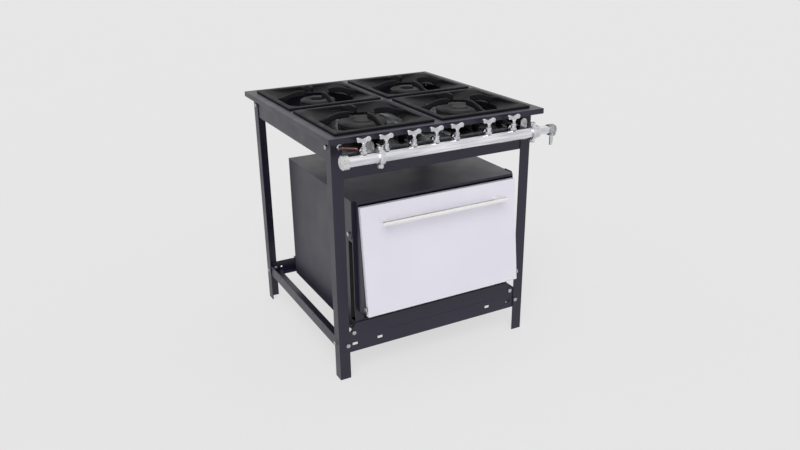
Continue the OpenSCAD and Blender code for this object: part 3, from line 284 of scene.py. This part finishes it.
def rockWool():
    # rock wool slab faced with black glass tissue: matt, with loose pale fibres a few hundredths
    # thick, drawn far coarser so they show
    look = {"pale": "#4a463c", "deep": "#19191b", "fibre": 7.2, "along": (1.0, 6.0, 1.0), "roughness": 0.95}
    made, tree, place = newFinish("tissueFacedRockWool")
    laid = add(tree, "ShaderNodeMapping", {"Vector": place, "Scale": look["along"]})
    fibre = add(tree, "ShaderNodeTexNoise", {"Vector": laid.outputs[0], "Scale": per(look["fibre"]),
                                             "Detail": 8.0, "Distortion": 1.5})
    colour = add(tree, "ShaderNodeMix", {mixShare: fibre.outputs[0], mixA: tone(look["deep"]),
                                         mixB: tone(look["pale"])}, data_type="RGBA")
    bump = add(tree, "ShaderNodeBump", {"Strength": 0.9, "Distance": 0.001, "Height": fibre.outputs[0]})
    return coated(made, {"Base Color": colour.outputs[2], "Roughness": look["roughness"],
                         "Normal": bump.outputs[0]})


print("stage: finishes")
evenly = (1.0, 1.0, 1.0)   # for turned and cast parts, which aren't drawn along one axis
paint = stovedPaint()
# the corner colour of each iron stands for rubbed iron and a painted edge highlight
grateIron = castIron("oiledCastIron", {
    "black": "#08080b", "ash": "#121217", "rust": "#211914", "rubAndEdgeHighlight": "#56565e", "rustShare": 0.3,
    "rubAndEdgeHighlightShare": 0.55, "roughness": 0.58, "film": 1.31, "patch": 38, "speck": 6, "sand": 1.6, "wave": 13,
    "edge": 1.6})
burnerIron = castIron("burntCastIron", {
    "black": "#121214", "ash": "#252528", "rust": "#38271d", "rubAndEdgeHighlight": "#55534f", "rustShare": 0.45,
    "rubAndEdgeHighlightShare": 0.4, "roughness": 0.6, "film": 1.38, "patch": 24, "speck": 4, "sand": 1.2, "wave": 9,
    "edge": 1.0})
chrome = plated("chromePlate", {
    "bright": "#f8f6fa", "dull": "#c8c8d0", "under": "#8f9094", "edgeShare": 0.25, "roughness": 0.09,
    "film": 9, "hair": 3.0, "along": (0.06, 1.0, 1.0), "wave": 7, "bump": 0.35, "edge": 0.7})
satin = plated("satinChrome", {
    "bright": "#fdfbfa", "dull": "#f0eeee", "under": "#a9a8a8", "edgeShare": 0.2, "roughness": 0.34,
    "film": 60, "hair": 2.0, "along": (0.1, 1.0, 1.0), "wave": 14, "bump": 0.15, "edge": 0.6})
brightZinc = plated("brightZincPlate", {
    "bright": "#e4e4e6", "dull": "#c3c4c6", "under": "#8d8e90", "edgeShare": 0.4, "roughness": 0.36,
    "film": 14, "hair": 2.5, "along": evenly, "wave": 5, "bump": 0.3, "edge": 0.6})
aluminium = plated("drawnAluminium", {
    "bright": "#efeff1", "dull": "#dedee1", "under": "#b4b4b8", "edgeShare": 0.2, "roughness": 0.58,
    "film": 25, "hair": 2.0, "along": (1.0, 0.1, 1.0), "wave": 12, "bump": 0.2, "edge": 0.5})
chromedBrass = plated("chromedBrass", {
    "bright": "#dcdce0", "dull": "#c3c4c9", "under": "#b8975a", "edgeShare": 0.3, "roughness": 0.14,
    "film": 18, "hair": 2.0, "along": evenly, "wave": 7, "bump": 0.25, "edge": 0.4})
zinc = plated("zincPlate", {
    "bright": "#c4c8ca", "dull": "#9fa3a0", "under": "#b0a783", "edgeShare": 0.4, "roughness": 0.3,
    "film": 9, "hair": 1.5, "along": evenly, "wave": 3, "bump": 0.25, "edge": 0.4})
dippedZinc = plated("hotDipZinc", {
    "bright": "#b6b9ba", "dull": "#8c9092", "under": "#75787a", "edgeShare": 0.4, "roughness": 0.42,
    "film": 12, "hair": 4.0, "along": evenly, "wave": 4, "bump": 0.6, "edge": 0.8})
copper = plated("drawnCopper", {
    "bright": "#8a5f5e", "dull": "#56393a", "under": "#a87a6e", "edgeShare": 0.3, "roughness": 0.4,
    "film": 30, "hair": 3.0, "along": (1.0, 1.0, 0.3), "wave": 15, "bump": 0.2, "edge": 0.5})
galvanised = zincedSheet()
millSteel = scaledSteel()
enamel = enamelled()
wool = rockWool()


def settle(piece, finish, replaced, body, crease=40):
    scene.collection.objects.link(piece)
    mesh = piece.data
    if not mesh.materials:
        mesh.materials.append(finish)
        mesh.shade_smooth()
        mesh.set_sharp_from_angle(angle=math.radians(crease))
    piece.modifiers.new("normals", "WEIGHTED_NORMAL").keep_sharp = True
    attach(piece, body)
    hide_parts(replaced)


def pieceFrom(work, name, finish, replaced, body, crease=40):
    mesh = bpy.data.meshes.new(name)
    work.to_mesh(mesh)
    work.free()
    settle(bpy.data.objects.new(name, mesh), finish, replaced, body, crease)


def joined(node):
    # the CAD part as one closed mesh, its flat faces whole again
    work = bmesh.new()
    work.from_mesh(nodes[node].data)
    bmesh.ops.remove_doubles(work, verts=work.verts[:], dist=0.000005)
    return work


def meshOf(holder):
    # what an object's curve or modifiers come to, as a mesh of its own
    scene.collection.objects.link(holder)
    bpy.context.view_layer.update()
    made = bpy.data.meshes.new_from_object(
        holder.evaluated_get(bpy.context.evaluated_depsgraph_get()))
    bpy.data.objects.remove(holder)
    return made


def dressed(node, finish, edge, steps=2):
    # the CAD part with real rounded edges, for folded sheet and rolled bar
    flat, sharp = math.radians(1), math.radians(40)
    work = joined(node)
    bmesh.ops.dissolve_limit(work, angle_limit=flat, verts=work.verts[:], edges=work.edges[:])
    edges = [e for e in work.edges if len(e.link_faces) == 2 and e.calc_face_angle(0) > sharp]
    bmesh.ops.bevel(work, geom=edges, offset=edge / 1000, offset_type="OFFSET", segments=steps,
                    profile=0.5, affect="EDGES", clamp_overlap=True)
    pieceFrom(work, node + "Dressed", finish, node, nodes[node]["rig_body"])


def castCopy(node, look):
    # the CAD part as poured metal: remeshed evenly, every corner melted round, then thinned
    work = joined(node)
    mesh = bpy.data.meshes.new(node + "Cast")
    work.to_mesh(mesh)
    work.free()
    holder = bpy.data.objects.new(node + "Cast", mesh)
    skin = holder.modifiers.new("skin", "REMESH")
    skin.mode = "VOXEL"
    skin.voxel_size = look["grain"] / 1000
    melt = holder.modifiers.new("melt", "SMOOTH")
    melt.factor = 0.5
    melt.iterations = look["rounds"]
    holder.modifiers.new("thin", "DECIMATE").ratio = look["kept"]
    made = meshOf(holder)
    made.materials.clear()
    made.name = node + "Cast"
    return made


def middle(node):
    low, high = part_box(node)
    return (low + high) / 2


def shared(alike, mesh, finish):
    # the same casting several times: one mesh, set over each part's own middle
    for node in alike:
        piece = bpy.data.objects.new(node + "Casting", mesh)
        piece.location = middle(node) - middle(alike[0])
        settle(piece, finish, node, nodes[node]["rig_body"], 55)


def stacked(work, rounds, place):
    # closed rounds of (radius, angle) at a height in mm, joined from one to the next
    rings = []
    for height, spokes in rounds:
        rings.append([work.verts.new(place @ (Vector((r * math.cos(a), r * math.sin(a), height)) / 1000))
                      for r, a in spokes])
    for low, high in zip(rings, rings[1:]):
        sides = max(len(low), len(high))
        for i in range(sides):
            j = (i + 1) % sides
            if len(low) > 1 and len(high) > 1:
                work.faces.new((low[i], low[j], high[j], high[i]))
            elif len(high) > 1:
                work.faces.new((low[0], high[j], high[i]))
            elif len(low) > 1:
                work.faces.new((low[i], low[j], high[0]))
    return rings


def lathe(work, profile, place, sides=40):
    # a profile of (height, radius) in mm, turned round Z; it closes where the radius is 0
    angles = [2 * math.pi * i / sides for i in range(sides)]
    stacked(work, [(height, [(radius, a) for a in angles] if radius else [(0, 0)])
                   for height, radius in profile], place)


def hexBody(work, across, length, place, chamferHigh=True):
    # a hexagon bar turned on its ends, so that each flat meets the turned cone in an arc
    angles = [2 * math.pi * i / 36 for i in range(36)]
    slope = math.tan(math.radians(30))
    deep = across * 0.09
    steps = [share * deep for share in (0, 0.15, 0.35, 0.6, 0.9)]
    heights = [(h, h / slope) for h in steps]
    heights += [(length - h, h / slope if chamferHigh else across) for h in steps[::-1]]
    rings = stacked(work, [(height, [(min(across / 2 / math.cos(a % (math.pi / 3) - math.pi / 6),
                                          across / 2 * 0.97 + grow), a) for a in angles])
                           for height, grow in heights], place)
    work.faces.new(rings[0][::-1])
    work.faces.new(rings[-1])


def swept(work, corners, radius, turn):
    # a tube along corners, each bent round like tube pulled on a former
    points = [corners[0]]
    for before, corner, after in zip(corners, corners[1:], corners[2:]):
        back = (before - corner).normalized()
        ahead = (after - corner).normalized()
        half = back.angle(ahead) / 2
        room = 0.48 * min((before - corner).length, (after - corner).length)
        reach = min(turn / math.tan(half), room)
        bend = reach * math.tan(half)
        centre = corner + (back + ahead).normalized() * (bend / math.sin(half))
        first = (corner + back * reach - centre).normalized()
        last = (corner + ahead * reach - centre).normalized()
        points += [centre + first.slerp(last, k / 8) * bend for k in range(9)]
    points.append(corners[-1])
    curve = bpy.data.curves.new("tube", "CURVE")
    curve.dimensions = "3D"
    curve.bevel_depth = radius
    curve.bevel_resolution = 5
    curve.use_fill_caps = True
    spline = curve.splines.new("POLY")
    spline.points.add(len(points) - 1)
    for knot, point in zip(spline.points, points):
        knot.co = (*point, 1)
    mesh = meshOf(bpy.data.objects.new("tube", curve))
    work.from_mesh(mesh)
    bpy.data.meshes.remove(mesh)


def alongY(point):
    return Matrix.Translation(point) @ Matrix.Rotation(-math.pi / 2, 4, "X")


def alongX(point):
    return Matrix.Translation(point) @ Matrix.Rotation(math.pi / 2, 4, "Y")


print("stage: camera")
view = {"eye": (-1.1642, -2.22345, 1.3541), "turn": -28.05, "down": 21.78, "roll": -0.69,
        "lens": 34.2, "sensor": 36, "far": 200}
turn, down, roll = (math.radians(view[k]) for k in ("turn", "down", "roll"))
back = Vector((math.sin(turn) * math.cos(down), -math.cos(turn) * math.cos(down), math.sin(down)))
right = (-back).cross(Vector((0, 0, 1))).normalized()
up = right.cross(-back)
tiltRight = math.cos(roll) * right + math.sin(roll) * up
tiltUp = -math.sin(roll) * right + math.cos(roll) * up
lens = bpy.data.cameras.new("camera")
lens.lens = view["lens"]
lens.sensor_width = view["sensor"]
lens.clip_end = view["far"]
camera = bpy.data.objects.new("camera", lens)
camera.matrix_world = Matrix((tiltRight, tiltUp, back)).transposed().to_4x4()
camera.matrix_world.translation = Vector(view["eye"])
scene.collection.objects.link(camera)
scene.camera = camera

print("stage: stand")
standEdges = {"leg": 0.7, "top": 0.8, "rail": 0.5, "pan": 0.3, "bar": 0.5}   # mm that a corner is rounded
for node in ("leg_front_left", "leg_front_right", "leg_rear_left", "leg_rear_right"):
    dressed(node, paint, standEdges["leg"])
dressed("top_frame", paint, standEdges["top"])
for node in ("apron_left", "apron_right", "apron_rear", "front_rail", "lower_rail_left",
             "lower_rail_right", "lower_rail_rear", "front_plate", "oven_bearers"):
    dressed(node, paint, standEdges["rail"])
dressed("drip_pan", galvanised, standEdges["pan"])
dressed("burner_bars", millSteel, standEdges["bar"])

boltLook = {"across": 13, "head": 5.3, "nut": 6.5, "past": 2, "shank": 3.9, "pitch": 1.25,
            "root": 0.88, "tip": 0.8}


def looseParts(source):
    # the points of each part of a mesh that hangs together
    seen = set()
    for start in source.verts:
        if start in seen:
            continue
        island, queue = [], [start]
        seen.add(start)
        while queue:
            one = queue.pop()
            island.append(one.co.copy())
            for e in one.link_edges:
                other = e.other_vert(one)
                if other not in seen:
                    seen.add(other)
                    queue.append(other)
        yield island


def boltSet(node, look):
    # a detailed bolt and nut in the place of each CAD bolt, its head where the CAD bolt is widest
    source = joined(node)
    work = bmesh.new()
    for island in looseParts(source):
        low = Vector([min(p[k] for p in island) for k in range(3)])
        high = Vector([max(p[k] for p in island) for k in range(3)])
        centre = (low + high) / 2
        axis = max(range(3), key=lambda k: (high - low)[k])
        reach = [max((p - centre).length for p in island if abs(p[axis] - end[axis]) < 0.0001)
                 for end in (low, high)]
        headLow = reach[0] > reach[1]
        direction = Vector((0, 0, 0))
        direction[axis] = 1 if headLow else -1
        foot = centre.copy()
        foot[axis] = low[axis] if headLow else high[axis]
        stood = Vector((0, 0, 1)).rotation_difference(direction).to_matrix().to_4x4()
        place = Matrix.Translation(foot) @ stood
        length = (high - low)[axis] * 1000
        nutEnd = length - look["past"]
        hexBody(work, look["across"], look["head"], place, chamferHigh=False)
        hexBody(work, look["across"], look["nut"],
                place @ Matrix.Translation((0, 0, (nutEnd - look["nut"]) / 1000)))
        buried = 0.2   # the shank starts inside the head, and the thread inside the nut
        shank = look["shank"]
        lathe(work, [(look["head"] - buried, 0), (look["head"] - buried, shank), (nutEnd - buried, shank),
                     (nutEnd - buried + look["pitch"] / 2, shank * look["root"]),
                     (nutEnd - buried + look["pitch"], shank),
                     (length - 0.1, shank * look["tip"]), (length - 0.1, 0)], place, 20)
    source.free()
    return work


pieceFrom(boltSet("bolts", boltLook), "hexBolts", zinc, "bolts", "stand", 30)

print("stage: castings")
# grain is the remesh step in mm, rounds how far corners melt, kept the share of faces that stays
grateLook = {"grain": 1.7, "rounds": 4, "kept": 0.4}
capLook = {"grain": 1.3, "rounds": 2, "kept": 0.5}
burnerLook = {"grain": 1.5, "rounds": 3, "kept": 0.4}
shared(["grate_front_left", "grate_front_right", "grate_rear_left", "grate_rear_right"],
       castCopy("grate_front_left", grateLook), grateIron)
for row in ("front", "rear"):
    pair = ["burner_cap_" + row + side for side in ("_left", "_right")]
    shared(pair, castCopy(pair[0], capLook), burnerIron)
for node in ("burner_front_left", "burner_front_right", "burner_rear_left", "burner_rear_right"):
    shared([node], castCopy(node, burnerLook), burnerIron)

print("stage: gas line")
# millimetres on the stand: axis is the height of the outlets, the others lie front to back or across
lineLook = {"axis": 759, "nutFront": -388, "nut": 14, "nutLength": 12, "tube": 4, "bend": 14,
            "tapX": [-276, -206, -116, -41, 29, 142, 234], "burnerX": 175.5}
feedLook = {"front": -387, "turn": -33, "end": 10}
downLook = {"x": -325, "y": -312, "high": 766, "low": 170, "end": -260,
            "leave": -364, "climb": -353, "through": -345, "gland": (16, 9), "endNut": 10}
axis, tapX, burnerX = (lineLook[k] for k in ("axis", "tapX", "burnerX"))


def tubes(name, runs, finish, replaced):
    work = bmesh.new()
    for corners in runs:
        swept(work, [at(*corner) for corner in corners], lineLook["tube"] / 1000, lineLook["bend"] / 1000)
    pieceFrom(work, name, finish, replaced, "stand")


def nutAt(work, place, across=lineLook["nut"], length=lineLook["nutLength"]):
    hexBody(work, across, length, place)


feeds = [(tapX[3], -burnerX), (tapX[4], burnerX)]   # from the two middle taps to the rear burners
tubes("feedTubes", [[(x, feedLook["front"], axis), (x, feedLook["turn"], axis),
                     (target, feedLook["turn"], axis), (target, feedLook["end"], axis)]
                    for x, target in feeds], aluminium, "feed_tubes")
legX, lineY, high, low = (downLook[k] for k in ("x", "y", "high", "low"))
tubes("ovenGasLine", [[(tapX[0], feedLook["front"], axis), (tapX[0], downLook["leave"], axis),
                       (legX + 3, downLook["climb"], high), (legX, downLook["through"], high),
                       (legX, lineY, high), (legX, lineY, low), (downLook["end"], lineY, low)]],
      copper, "oven_gas_line")
feedNuts = bmesh.new()
for x, target in feeds:
    nutAt(feedNuts, alongY(at(x, lineLook["nutFront"], axis)))
pieceFrom(feedNuts, "feedTubeNuts", chromedBrass, "feed_tubes", "stand")
lineNuts = bmesh.new()
nutAt(lineNuts, alongY(at(tapX[0], lineLook["nutFront"], axis)))
nutAt(lineNuts, alongY(at(legX, downLook["through"] - 1, high)), *downLook["gland"])
nutAt(lineNuts, alongX(at(downLook["end"] - 4, lineY, low)), length=downLook["endNut"])
pieceFrom(lineNuts, "ovenLineNuts", chromedBrass, "oven_gas_line", "stand")

# taps: a hexagon screwed into the pipe, a turned barrel, a gland nut and an outlet to the back
tapLook = {"y": -402, "foot": 753.7, "hexagon": (18, 8), "gland": (15, 5), "glandUp": 16,
           "barrel": 8, "outlet": 5}
barrel, outlet = tapLook["barrel"], tapLook["outlet"]
barrelProfile = [(7.5, 0), (7.5, barrel - 1.2), (8.6, barrel), (10.5, barrel), (11.0, barrel - 0.7),
                 (11.7, barrel - 0.7), (12.2, barrel), (15.2, barrel), (16.1, barrel - 1.2), (16.1, 0)]
outletProfile = [(4, 0), (4, outlet), (10, outlet), (10.5, outlet - 0.5), (11.2, outlet), (13.4, outlet),
                 (13.9, outlet - 0.6), (13.9, 0)]
taps = bmesh.new()
for x in tapX:
    foot = Matrix.Translation(at(x, tapLook["y"], tapLook["foot"]))
    hexBody(taps, *tapLook["hexagon"], foot)
    lathe(taps, barrelProfile, foot, 32)
    hexBody(taps, *tapLook["gland"], foot @ Matrix.Translation((0, 0, tapLook["glandUp"] / 1000)))
    lathe(taps, outletProfile, alongY(at(x, tapLook["y"], axis)), 24)
pieceFrom(taps, "tapBodies", chromedBrass, "tap_bodies", "stand", 35)
wingLook = {"grain": 0.55, "rounds": 3, "kept": 0.35}
shared(["tap_handle_%d" % number for number in range(1, 8)], castCopy("tap_handle_1", wingLook),
       chromedBrass)

# injectors: a nut, a stem and a drilled spud in front of each mixing tube
spudLook = {"front": (-388, -334), "rear": (10, 36), "stem": 4, "tip": 2, "bore": 0.8}
spuds = bmesh.new()
for x, (start, tip) in [(tapX[i], spudLook["front"]) for i in (1, 2, 5, 6)] + \
        [(x, spudLook["rear"]) for x in (-burnerX, burnerX)]:
    place = alongY(at(x, start, axis))
    end = tip - start
    nutAt(spuds, place)
    lathe(spuds, [(11.5, 0), (11.5, spudLook["stem"]), (end - 6.5, spudLook["stem"]),
                  (end - 6, spudLook["stem"] - 0.2), (end, spudLook["tip"]), (end, spudLook["bore"]),
                  (end - 3, spudLook["bore"]), (end - 3, 0)], place, 24)
pieceFrom(spuds, "injectorSpuds", chromedBrass, "injectors", "stand", 35)

print("stage: door")
doorEdges = {"panel": 0.55, "liner": 0.4}
dressed("door_panel", enamel, doorEdges["panel"], steps=3)
dressed("door_liner", galvanised, doorEdges["liner"])

print("stage: finishes on the other parts")
plain = {
    "supply_pipe": chrome, "pipe_cap": brightZinc, "pipe_reducer": brightZinc, "inlet_nipple": chrome,
    "inlet_elbow": dippedZinc, "hose_tail": chromedBrass, "pipe_brackets": brightZinc,
    "oven_casing": paint, "oven_lining": galvanised, "rack_runners": galvanised, "oven_insulation": wool,
    "oven_front": paint, "oven_floor": galvanised, "oven_burner": millSteel, "oven_rack": chrome,
    "hinge_pins": zinc, "door_handle": satin,
}
for node, finish in plain.items():
    nodes[node].data.materials.clear()
    nodes[node].data.materials.append(finish)

print("stage: studio")
# own is the share of the floor that the camera sees as a plain tone, the rest shows the shadow
studio = {"floor": "#ebebeb", "mottle": "#e8e8e8", "cloud": 700, "reach": 30, "roughness": 0.9,
          "seen": "#ebebeb", "own": 0.76, "sky": 0.46,
          "sun": 1.4, "sunFrom": (-0.42, -0.62, 0.78), "sunSoftness": 40,
          "fill": 0.5, "fillFrom": (-0.3, -0.94, 0.1), "fillSoftness": 26}


def seenBy(tree):
    # 1 for the camera and in reflections, 0 for the light that falls on the cooker
    rays = add(tree, "ShaderNodeLightPath")
    either = add(tree, "ShaderNodeMath", {0: rays.outputs["Is Camera Ray"], 1: rays.outputs["Is Glossy Ray"]},
                 operation="MAXIMUM")
    return add(tree, "ShaderNodeMath", {0: either.outputs[0], 1: rays.outputs["Is Transmission Ray"]},
               operation="MAXIMUM").outputs[0]


ground = bmesh.new()
bmesh.ops.create_grid(ground, x_segments=8, y_segments=8, size=studio["reach"])
floorMesh = bpy.data.meshes.new("studioFloor")
ground.to_mesh(floorMesh)
ground.free()
floor = bpy.data.objects.new("studioFloor", floorMesh)
scene.collection.objects.link(floor)
sweep, tree, place = newFinish("paintedStudioFloor")
mottle = add(tree, "ShaderNodeTexNoise", {"Vector": place, "Scale": per(studio["cloud"]),
                                          "Detail": 2.0})
pale = add(tree, "ShaderNodeMix", {mixShare: mottle.outputs[0], mixA: tone(studio["floor"]),
                                   mixB: tone(studio["mottle"])}, data_type="RGBA")
lit = add(tree, "ShaderNodeBsdfPrincipled", {"Base Color": pale.outputs[2],
                                             "Roughness": studio["roughness"]})
glow = add(tree, "ShaderNodeEmission", {"Color": tone(studio["seen"]), "Strength": 1.0})
share = add(tree, "ShaderNodeMath", {0: seenBy(tree), 1: studio["own"]}, operation="MULTIPLY")
both = add(tree, "ShaderNodeMixShader", {0: share.outputs[0], 1: lit.outputs[0], 2: glow.outputs[0]})
add(tree, "ShaderNodeOutputMaterial", {"Surface": both.outputs[0]})
floorMesh.materials.append(sweep)

world = bpy.data.worlds.new("studio")
scene.world = world
world.use_nodes = True
tree = world.node_tree
tree.nodes.clear()
soft = add(tree, "ShaderNodeBackground", {"Color": (1, 1, 1, 1), "Strength": studio["sky"]})
white = add(tree, "ShaderNodeBackground", {"Color": tone(studio["seen"]), "Strength": 1.0})
both = add(tree, "ShaderNodeMixShader", {0: seenBy(tree), 1: soft.outputs[0], 2: white.outputs[0]})
add(tree, "ShaderNodeOutputWorld", {"Surface": both.outputs[0]})
for name, key in (("softbox", "sun"), ("lowSoftbox", "fill")):
    light = bpy.data.lights.new(name, "SUN")
    light.energy = studio[key]
    light.angle = math.radians(studio[key + "Softness"])
    lamp = bpy.data.objects.new(name, light)
    lamp.matrix_world = Vector(studio[key + "From"]).to_track_quat("Z", "Y").to_matrix().to_4x4()
    scene.collection.objects.link(lamp)
scene.view_settings.view_transform = "Standard"
